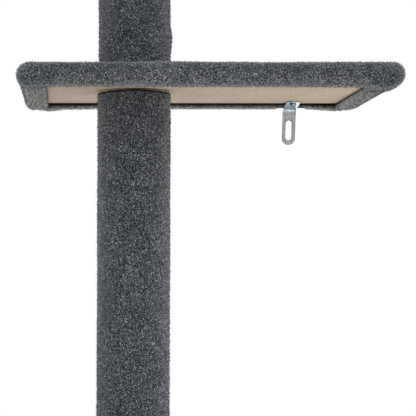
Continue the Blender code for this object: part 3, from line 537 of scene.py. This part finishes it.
def foldedRings(folds, hems, top, bottom, boardLow, boardHigh):
    # from the top's middle round the fold, along the hem and back over the board; each ring:
    # how far in it lies at the left, right, front and back, height, pile, painted pale light, dark cut edge with
    # painted shade, ripple
    def insets(half, turn, over=0, hemShare=0):  # turn runs round the fold and hemShare along the hem
        reach = [pile["proud"] + fold[half] * turn for fold in folds]
        return [r * (1 - hemShare) + hem * hemShare + over for r, hem in zip(reach, hems)]

    tall, last = wrap["foldHeight"], wrap["foldSteps"]
    rings = [(insets(0, 1, over), top, wrap["topPile"], litTop, 0, 1) for over, litTop in wrap["topRings"]]
    for i in range(last + 1):
        half, down = i // (last // 2 + 1), math.pi * i / last
        z = (top - tall, bottom + tall)[half] + tall * math.cos(down)
        litTop = (wrap["litTopSteps"] - i) / wrap["litTopSteps"] * wrap["litTopShare"]
        paintedPaleLight = max(0, litTop) if i < wrap["paleStep"] else min(1, (i - wrap["paleStep"]) / wrap["paleSteps"])
        rings.append((insets(half, 1 - math.sin(down)), z, 1, paintedPaleLight, 0, 1))
    rings += [(insets(1, 1, 0, share), bottom, wrap["hemPile"], 1, 0, wrap["hemRipple"]) for share in wrap["hemRings"]]
    rings += [(insets(1, 1, over, 1), bottom + up, *shades) for over, up, *shades in wrap["cutEnd"]]
    # the hem's end at the board is darkest: painted shade where the board overhangs it
    rings.append((insets(1, 1, 0, 1), boardLow.z - wrap["cutGap"], 0, 0, 1, 0))
    under, above = boardLow.z - wrap["gap"], boardHigh.z + wrap["gap"]
    inside = ((wrap["thickness"], under), (wrap["thickness"], above), (wrap["innerEnd"], above))
    return rings + [([inset] * 4, z, 0, 0, 0, 0) for inset, z in inside]


def wrapBoard(name, coverNode, boardNode, hems, shelf=None):
    # hems: the hem's width at the post's side, the far side, the front and the back
    low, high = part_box(coverNode)
    boardLow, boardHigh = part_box(boardNode)
    wide, deep = high.x - low.x, high.y - low.y
    folds, hems = list(wrap["folds"]), list(hems)
    sided = [wrap[key] for key in ("sideIn", "sidePress", "sideFree", "paleFrom")]
    if high.x + low.x < -wrap["offCentre"]:
        folds[:2], hems[:2] = folds[1::-1], hems[1::-1]
        sided = [pair[::-1] for pair in sided]
    sideIn, sidePress, sideFree, paleFrom = sided
    lean = hemLean.get(shelf, (0, 0))
    top = high.z - pile["proud"] + wrap["topRise"]
    bottom = low.z + pile["proud"] - wrap["hemDrop"]
    step = [round((length - 2 * wrap["cornerRadius"]) / wrap["sideStep"]) for length in (deep, wide)]
    closeUp = None
    if shelf == dent["shelf"]:
        half, count = dent["closeUp"]
        closeUp = (bracketSeat.x + half, bracketSeat.x - half, count)

    def bend(point, isRight, fromSide, lowness):
        # glued flatter along the sides than at the folded front corners, and thicker to the back
        along = clamped((point.y - low.y - wrap["pressFrom"]) / wrap["pressOver"])
        freed = clamped((point.y - low.y - wrap["freeFrom"]) / wrap["freeOver"])
        press = sideIn[isRight] + sidePress[isRight] * along - sideFree[isRight] * freed
        press *= max(0, 1 - fromSide / wrap["pressReach"])
        if point.z < boardLow.z and fromSide < wrap["leanTo"]:
            onHem = clamped((fromSide - wrap["leanFrom"]) / wrap["leanOver"])
            press += lean[isRight] * ((point.y - low.y) / deep - 0.5) * onHem
        point.x -= press if isRight else -press
        point.z -= wrap["backSag"] * lowness * max(0, point.y - low.y - wrap["sagFrom"]) / (deep - wrap["sagFrom"])
        if shelf == lumps["shelf"]:
            for x, y, spread, drop in lumps["places"]:
                away = ((point.x - x) ** 2 + (point.y - y) ** 2) / spread ** 2
                point.z -= drop * lowness ** 2 * math.exp(-away)
            for x, spread, height in lumps["rises"]:
                point.z += height * (1 - lowness) * math.exp(-((point.x - x) / spread) ** 2)

    def paintedPaleLightShare(point, isRight, fromSide, paintedPaleLight):
        # painted pale light: at the front the plush folds right under and stays dark, elsewhere the hem is painted
        # paler as if lit at a grazing angle
        onStrip = clamped(1 - (fromSide - wrap["strip"]) / wrap["stripOver"])
        start = hems[2] + (paleFrom[isRight] - hems[2]) * onStrip
        turned = clamped((point.y - low.y - start) / wrap["paleOver"] + 0.5)
        pale = min(1, paintedPaleLight * (wrap["paleElsewhere"] * (1 - onStrip) + turned))
        return pale * (1 - wrap["rightLessLit"] * onStrip * isRight)

    rings, shades = [], {"pileShare": [], "paintedPaleLight": [], "cutEdgeAndPaintedShade": []}
    for (left, right, front, back), z, share, paintedPaleLight, cutEdgeAndPaintedShade, ripple in foldedRings(
        folds, hems, top, bottom, boardLow, boardHigh
    ):
        corner = max(wrap["leastCorner"], wrap["cornerRadius"] - min(left, front))
        ring = roundedRectangle(
            Vector((low.x + left, low.y + front, 0)), Vector((high.x - right, high.y - back, 0)),
            corner, z, step, wrap["cornerCount"], closeUp,
        )
        for point in ring:
            isRight = point.x > (low.x + high.x) / 2
            fromSide = min(point.x - low.x, high.x - point.x)
            lowness = clamped((top - point.z) / (top - bottom))
            if share or cutEdgeAndPaintedShade:
                bend(point, isRight, fromSide, lowness)
            if ripple:
                wave = noise.noise_vector(point * wrap["rippleScale"])
                wave += noise.noise_vector(point * wrap["rippleScale"] * wrap["finerBy"]) * wrap["fineShare"]
                point += wave * wrap["ripple"] * ripple
            squeezed = 0
            if shelf == dent["shelf"] and point.z < boardLow.z and point.y > high.y - dent["depth"]:
                squeezed = squeezeByBracket(point, boardLow.z)
            isLitTop = lowness < wrap["litTopTo"]  # painted highlight: the top edge is paler as if lit from above
            shades["pileShare"].append(0 if squeezed else share)
            shades["paintedPaleLight"].append(paintedPaleLight if isLitTop else paintedPaleLightShare(point, isRight, fromSide, paintedPaleLight))
            # painted shadow of the bracket's foot beside it on the squeezed hem, in the same mask as the dark cut edge
            shades["cutEdgeAndPaintedShade"].append(max(cutEdgeAndPaintedShade, dent["footShadow"] * squeezed))
        rings.append(ring)
    points, faces = loft(rings)
    skin = newPiece(name, points, faces, boardPlush, shades)
    dressCarpet(skin, coverNode, "tree", pile["perSquareMetre"] * wrap["pileShares"][shelf])


hems = {1: (0.036, 0.036, 0.030, 0.030), 2: (0.035, 0.037, 0.031, 0.029), 3: (0.0328, 0.0398, 0.030, 0.0292),
        4: (0.037, 0.036, 0.030, 0.031), "base": (0.036, 0.036, 0.030, 0.030)}
for number in (1, 2, 3, 4):
    wrapBoard(f"shelfCarpet_{number}", f"shelf_cover_{number}", f"shelf_board_{number}", hems[number], shelf=number)
wrapBoard("baseCarpet", "base_cover", "base_board", hems["base"])
print("board carpets folded")


sleeve = {
    "around": 96, "step": 0.006, "endRound": 0.0012, "lowerCut": 0.5, "rowsEnd": 0.0065,
    # rows at the upper end: how far out, how far below the end, pile, dark cut edge and painted shade near the board;
    # the bare rim stands out until it is level with the pile
    "upperEnd": (
        (0, 0.006, 1, 0), (0, 0.0026, 0.7, 0.4), (0.0007, 0.0022, 0, 0.4), (0.0007, 0.0020, 0, 0.95),
        (0.0006, 0.0014, 0, 1), (0.0004, 0, 0, 1),
    ),
    "trim": {3: (0.0005, 0.0018)}, "trimElse": (0.0010, 0.0006),  # how short in front, and how much more at the sides
    "trimPower": 1.5, "slimmer": {4: 0.0007},
    "aside": {3: (0.0008, 0.0054), 4: (0.0016, 0)},  # skewed in x: how far at the top end, and per metre below it
    "seamDegrees": {1: 95, 2: 80, 3: 100, 4: 32, 5: 88}, "seamHalfWidth": 0.0016, "seamDepth": 0.0007,
    "ripple": 0.0003, "rippleScale": 14, "fineScale": 60, "fineShare": 0.5,
    "perSquareMetre": {3: 300000, 4: 300000},
}
# a lump under the carpet of the photographed upper post, low at its right
bulge = {"post": 4, "height": 1.4900, "degrees": 6, "reach": 0.0028, "tall": 0.012, "wide": 0.011}


def turnBetween(angle, other):
    return (angle - other + math.pi) % (2 * math.pi) - math.pi


def wrapPost(number):
    low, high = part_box(f"post_sleeve_{number}")
    axis = upAxis(low, high)
    inner = (high.y - low.y) / 2 - wrap["thickness"]
    outer = inner + wrap["thickness"] - pile["proud"] - sleeve["slimmer"].get(number, 0)
    rows = round((high.z - low.z) / sleeve["step"])
    heights = [low.z + sleeve["endRound"]] + [low.z + (high.z - low.z) * i / rows for i in range(1, rows)]
    seam = math.radians(sleeve["seamDegrees"][number])
    # each row: radius, height, how much of the trim it takes, pile, dark cut edge and painted shade
    outline = [(outer - sleeve["endRound"], low.z, 0, 0, sleeve["lowerCut"])]
    outline += [(outer, z, 0, 1, 0) for z in heights if z < high.z - sleeve["rowsEnd"]]
    outline += [(outer + out, high.z - down, 1, share, cutAndShade) for out, down, share, cutAndShade in sleeve["upperEnd"]]
    outline += [(inner, high.z, 1, 0, 1), (inner, low.z, 0, 0, 1)]
    short, shorter = sleeve["trim"].get(number, sleeve["trimElse"])
    aside, lean = sleeve["aside"].get(number, (0, 0))
    rings, shares, cutsAndShade = [], [], []
    for k, (radius, z, trimmed, share, cutAndShade) in enumerate(outline):
        ring = []
        isOuter = 0 < k < len(outline) - 2
        for i in range(sleeve["around"]):
            angle = 2 * math.pi * i / sleeve["around"]
            reach = radius
            if isOuter:
                spot = Vector((math.cos(angle) * outer, math.sin(angle) * outer, z))
                wave = noise.noise(spot * sleeve["rippleScale"])
                wave += noise.noise(spot * sleeve["fineScale"]) * sleeve["fineShare"]
                across = turnBetween(angle, seam) * outer / sleeve["seamHalfWidth"]
                reach += wave * sleeve["ripple"] - sleeve["seamDepth"] * math.exp(-across ** 2)
                if number == bulge["post"]:
                    across = turnBetween(angle, math.radians(bulge["degrees"])) * outer / bulge["wide"]
                    up = (z - bulge["height"]) / bulge["tall"]
                    reach += bulge["reach"] * math.exp(-up ** 2 - across ** 2)
                reach += (aside - lean * (high.z - z)) * math.cos(angle)
            drop = trimmed * (short + shorter * abs(math.cos(angle)) ** sleeve["trimPower"])
            ring.append(axis + Vector((reach * math.cos(angle), reach * math.sin(angle), z - drop)))
        rings.append(ring)
        shares += [share] * sleeve["around"]
        cutsAndShade += [cutAndShade] * sleeve["around"]
    points, faces = loft(rings, closed=True)
    none = [0.0] * len(points)
    skin = newPiece(f"postCarpet_{number}", points, faces, postPlush,
                    {"pileShare": shares, "paintedPaleLight": none, "cutEdgeAndPaintedShade": cutsAndShade})
    density = sleeve["perSquareMetre"].get(number, pile["perSquareMetre"])
    dressCarpet(skin, f"post_sleeve_{number}", "tree", density, brushed=pile["brushedPosts"])


for number in (1, 2, 3, 4, 5):
    wrapPost(number)
print("post carpets wrapped")


ceilingWrap = {
    "edgeRadius": 0.0105, "edgeSteps": 6, "around": 96, "mouthPile": 0.3, "mouthRing": 0.006, "flatRing": 0.03,
    "bareTop": 0.004, "turnedIn": 0.05, "leftAfterCutting": 0.95,
}


def wrapCeilingPlate():
    low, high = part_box("ceiling_cover")
    boardLow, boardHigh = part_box("ceiling_board")
    axis = upAxis(low, high)
    radius, steps, around = (ceilingWrap[key] for key in ("edgeRadius", "edgeSteps", "around"))
    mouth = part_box("ceiling_socket")[1].x - axis.x + wrap["gap"]
    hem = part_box("ceiling_pad")[1].x - axis.x + wrap["gap"]
    inner = boardHigh.x - axis.x + wrap["gap"]
    outer = (high.x - low.x) / 2
    edge = outer - pile["proud"] - radius
    face, under, above = low.z + pile["proud"], boardLow.z - wrap["gap"], boardHigh.z + wrap["gap"]
    # radius, height, pile
    profile = [(mouth, under, 0), (mouth, face, ceilingWrap["mouthPile"]), (mouth + ceilingWrap["mouthRing"], face, 1)]
    profile += [(outer - ceilingWrap["flatRing"], face, 1)]
    profile += [(r, z, 1) for r, z in arcPoints((edge, face + radius), radius, -90, 0, steps)]
    profile += [(r, z, 1) for r, z in arcPoints((edge, high.z - radius), radius, 0, 90, steps)]
    profile += [(hem, high.z, 0), (hem, above, 0), (inner, above, 0), (inner, under, 0)]
    rings = [circleRing(axis, r, z, around) for r, z, share in profile]
    bareFrom = high.z - ceilingWrap["bareTop"]
    shares = [0.0 if z > bareFrom else float(share) for r, z, share in profile for i in range(around)]
    points, faces = loft(rings, closed=True)
    none = [0.0] * len(points)
    skin = newPiece("ceilingCarpet", points, faces, boardPlush,
                    {"pileShare": shares, "paintedPaleLight": none, "cutEdgeAndPaintedShade": none})
    dressCarpet(skin, "ceiling_cover", "ceiling_head", pile["perSquareMetre"])


wrapCeilingPlate()
print("ceiling carpet wrapped")


easing = {
    "weld": 0.00001, "flatDegrees": 1.5, "sharpDegrees": 50, "bevelDegrees": 40, "segments": 2,
    "bracketRim": 0.0003, "glideRim": 0.0008, "padRim": 0.0010,
    "askew": 0.0017, "foldPower": 3, "tipShare": 0.3,  # one way at the fold, a little the other way at the arm's tip
}


def softenedCopy(nodeName, pieceName, width, material, body, askew=0):
    # the solid with its sharp rims eased, as pressing, moulding and plating leave them
    mesh = nodes[nodeName].data.copy()
    low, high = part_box(nodeName)
    for vertex in mesh.vertices if askew else ():
        raised = (vertex.co.z - low.z) / (high.z - low.z)
        share = raised ** easing["foldPower"] - easing["tipShare"] * (1 - raised)
        vertex.co.x += askew * share * (vertex.co.y - bracketSeat.y) / (high.y - bracketSeat.y)
    bm = bmesh.new()
    bm.from_mesh(mesh)
    bmesh.ops.remove_doubles(bm, verts=bm.verts, dist=easing["weld"])
    bmesh.ops.dissolve_limit(bm, angle_limit=math.radians(easing["flatDegrees"]), verts=bm.verts, edges=bm.edges)
    bm.to_mesh(mesh)
    bm.free()
    mesh.name = pieceName
    mesh.materials.clear()
    mesh.materials.append(material)
    piece = addObject(pieceName, mesh)
    mesh.shade_smooth()
    mesh.set_sharp_from_angle(angle=math.radians(easing["sharpDegrees"]))
    bevel = piece.modifiers.new("eased rims", "BEVEL")
    bevel.width = width
    bevel.segments = easing["segments"]
    bevel.limit_method = "ANGLE"
    bevel.angle_limit = math.radians(easing["bevelDegrees"])
    bevel.harden_normals = True
    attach(piece, body)
    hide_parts(nodeName)


softenedCopy("wall_bracket", "slottedWallBracket", easing["bracketRim"], stampedZinc, "wall_bracket",
             askew=easing["askew"])
for end in ("front", "back"):
    for side in ("left", "right"):
        softenedCopy(f"base_glide_{end}_{side}", f"feltGlide_{end}_{side}", easing["glideRim"], feltMaterial,
                     "tree")
softenedCopy("ceiling_pad", "ceilingGripPad", easing["padRim"], rubberMaterial, "ceiling_head")


thread = {"pitch": 0.002, "crest": 0.0080, "root": 0.0071, "perPitch": 4, "around": 24, "endsAbove": 0.002}
shank = {
    "around": 32, "sharpDegrees": 40, "tip": 0.0015, "end": 0.0066, "chamfer": 0.0012, "neck": 0.004,
    "pivot": 0.0060, "pivotFrom": 0.001, "pivotEnd": 0.0054, "pivotChamfer": 0.0006,
}
hexHead = {"tall": 0.012, "acrossFlats": 0.024, "chamfer": 0.0012, "endShare": 0.90, "gap": 0.0003, "sharpDegrees": 30}


def threadedSpindle():
    low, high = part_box("spindle")
    axis = upAxis(low, high)
    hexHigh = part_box("ceiling_socket")[0].z - hexHead["gap"]
    hexLow = hexHigh - hexHead["tall"]
    count, perPitch, root, crest = (thread[key] for key in ("around", "perPitch", "root", "crest"))
    rows = int((hexLow - low.z - thread["endsAbove"]) / thread["pitch"]) * perPitch
    heights = (root, (root + crest) / 2, crest, (root + crest) / 2)
    points, faces = [], []
    for j in range(rows + 1):  # each row climbs a pitch in one turn, so the crest runs along it
        for i in range(count):
            z = hexLow - thread["pitch"] * ((rows - j) / perPitch + 1 - i / count)
            angle = 2 * math.pi * i / count
            r = heights[j % perPitch]
            points.append(axis + Vector((r * math.cos(angle), r * math.sin(angle), z)))
    for j in range(rows):
        for i in range(count - 1):
            a = j * count + i
            faces.append((a, a + 1, a + 1 + count, a + count))
        a, b = j * count + count - 1, (j + perPitch) * count  # the turn's end meets the start one pitch up
        if b + count <= rows * count:
            faces.append((a, b, b + count, a + count))
    spiral = newPiece("spindleThread", points, faces, zincMaterial)
    rod = newPiece("spindleCore", *loft([circleRing(axis, r, z, shank["around"]) for r, z in (
        (shank["tip"], low.z), (shank["end"], low.z), (root, low.z + shank["chamfer"]), (root, hexLow),
        (root, hexLow + shank["neck"]), (shank["pivot"], hexHigh - shank["pivotFrom"]),
        (shank["pivot"], high.z - shank["pivotChamfer"]), (shank["pivotEnd"], high.z),
    )]), zincMaterial)
    rod.data.set_sharp_from_angle(angle=math.radians(shank["sharpDegrees"]))
    corner = hexHead["acrossFlats"] / 2 / math.cos(math.pi / 6)
    hexagon = newPiece("spindleHexagon", *loft([circleRing(axis, share * corner, z, 6) for share, z in (
        (hexHead["endShare"], hexLow), (1, hexLow + hexHead["chamfer"]), (1, hexHigh - hexHead["chamfer"]),
        (hexHead["endShare"], hexHigh),
    )]), zincMaterial)
    hexagon.data.set_sharp_from_angle(angle=math.radians(hexHead["sharpDegrees"]))
    for piece in (spiral, rod, hexagon):
        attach(piece, "spindle")
    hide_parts("spindle")


threadedSpindle()
print("metal parts finished")


studio = {
    "floorHalf": 2.4, "floorShades": ((0, "#f4f4f3"), (1, "#f8f8f7")), "floorGrain": 3.0,
    "fadeFrom": 0.5, "fadeToShare": 0.95, "leastWhite": 0.35,  # how white the floor is near the tree, and where not
    "worldStrength": 0.50,
}


def layFloor():
    # a pale board that keeps the tree's shadow and fades to the white round it
    half = studio["floorHalf"]
    mesh = bpy.data.meshes.new("paleFloor")
    mesh.from_pydata([(-half, -half, 0), (half, -half, 0), (half, half, 0), (-half, half, 0)], [], [(0, 1, 2, 3)])
    floor = addObject("paleFloor", mesh)
    material = bpy.data.materials.new("pale studio floor")
    material.use_nodes = True
    tree = material.node_tree
    tree.nodes.clear()
    place = addNode(tree, "ShaderNodeTexCoord").outputs["Object"]
    grain = addNode(tree, "ShaderNodeTexNoise", {"Vector": place, "Scale": studio["floorGrain"]})
    shades = addNode(tree, "ShaderNodeValToRGB", {"Fac": grain.outputs["Fac"]}, stops=studio["floorShades"])
    paint = addNode(tree, "ShaderNodeBsdfDiffuse", {"Color": shades.outputs["Color"]})
    glow = addNode(tree, "ShaderNodeEmission", {"Color": (1, 1, 1, 1), "Strength": 1.0})
    away = addNode(tree, "ShaderNodeVectorMath", {0: place}, operation="LENGTH")
    fade = addNode(tree, "ShaderNodeMapRange", {
        "Value": away.outputs["Value"], "From Min": studio["fadeFrom"], "From Max": studio["fadeToShare"] * half,
        "To Min": studio["leastWhite"], "To Max": 1.0,
    }, interpolation_type="SMOOTHSTEP")
    path = addNode(tree, "ShaderNodeLightPath")
    seen = addNode(tree, "ShaderNodeMath", {
        0: path.outputs["Is Camera Ray"], 1: path.outputs["Is Glossy Ray"],
    }, operation="MAXIMUM")
    share = addNode(tree, "ShaderNodeMath", {0: seen.outputs[0], 1: fade.outputs["Result"]}, operation="MULTIPLY")
    mixed = addNode(tree, "ShaderNodeMixShader", {0: share.outputs[0], 1: paint.outputs[0], 2: glow.outputs[0]})
    addNode(tree, "ShaderNodeOutputMaterial", {"Surface": mixed.outputs[0]})
    mesh.materials.append(material)


def lightWorld():
    # white to the camera and to reflections, dimmer as a light
    world = bpy.data.worlds.new("white studio")
    bpy.context.scene.world = world
    world.use_nodes = True
    tree = world.node_tree
    tree.nodes.clear()
    path = addNode(tree, "ShaderNodeLightPath").outputs
    seen = path["Is Camera Ray"]
    for other in ("Is Glossy Ray", "Is Transmission Ray"):
        seen = addNode(tree, "ShaderNodeMath", {0: seen, 1: path[other]}, operation="MAXIMUM").outputs[0]
    strength = addNode(tree, "ShaderNodeMapRange", {"Value": seen, "To Min": studio["worldStrength"], "To Max": 1.0})
    sky = addNode(tree, "ShaderNodeBackground", {"Color": (1, 1, 1, 1), "Strength": strength.outputs["Result"]})
    addNode(tree, "ShaderNodeOutputWorld", {"Surface": sky.outputs[0]})


def softLamp(name, place, aim, energy, angle=None, size=None, colour="#ffffff"):
    # a broad sun where an angle is given, otherwise a round softbox; neither is seen by the camera
    data = bpy.data.lights.new(name, "SUN" if angle else "AREA")
    data.energy = energy
    data.color = toLinear(colour)[:3]
    if angle:
        data.angle = math.radians(angle)
    else:
        data.shape = "DISK"
        data.size = size
    lamp = addObject(name, data)
    lamp.location = place
    lamp.rotation_euler = (Vector(aim) - Vector(place)).to_track_quat("-Z", "Y").to_euler()
    lamp.visible_camera = False


lamps = {
    "overhead": {"place": (0.2, -0.9, 5.0), "aim": (0, 0, 1.2), "energy": 1.05, "angle": 70},
    "overheadBack": {"place": (0.2, 2.6, 4.2), "aim": (0, 0, 1.4), "energy": 0.6, "angle": 40},
    "frontKey": {"place": (0.9, -2.8, 3.3), "aim": (0, 0, 1.3), "energy": 0.42, "angle": 60},
    "rightRim": {"place": (3.0, 0.9, 1.5), "aim": (0, 0, 1.4), "energy": 1.3, "angle": 50},
    "leftRim": {"place": (-3.0, 1.5, 1.5), "aim": (0, 0, 1.4), "energy": 1.1, "angle": 50},
    "backdropBounce": {
        "place": (0.55, 3.0, 0.15), "aim": (0.2, 0.17, 1.42), "energy": 3, "size": 1.6, "colour": "#d8ecff",
    },
    "underBracket": {
        "place": (0.26, 0.09, 0.82), "aim": (0.21, 0.19, 1.41), "energy": 0.21, "size": 0.14, "colour": "#e6f3ff",
    },
}
layFloor()
lightWorld()
for name, lamp in lamps.items():
    softLamp(name, **lamp)

view = {  # the photograph's view, as fitted to the shelf's corners, the post and the bracket
    "eye": (-0.06084, -2.20867, 1.23009), "yaw": 2.311, "pitch": 1.245, "roll": -0.130,
    "lens": 164.27, "sensor": 36, "shift": (0.12, 0.03),
}
camera = addObject("camera", bpy.data.cameras.new("camera"))
camera.data.lens = view["lens"]
camera.data.sensor_width = view["sensor"]
camera.data.shift_x, camera.data.shift_y = view["shift"]
camera.location = view["eye"]
turn = Matrix.Rotation(math.radians(-view["yaw"]), 4, "Z") @ Matrix.Rotation(math.radians(90 + view["pitch"]), 4, "X")
camera.rotation_euler = (turn @ Matrix.Rotation(math.radians(view["roll"]), 4, "Z")).to_euler()
bpy.context.scene.camera = camera
bpy.context.scene.view_settings.view_transform = "Standard"

print("scene ready")
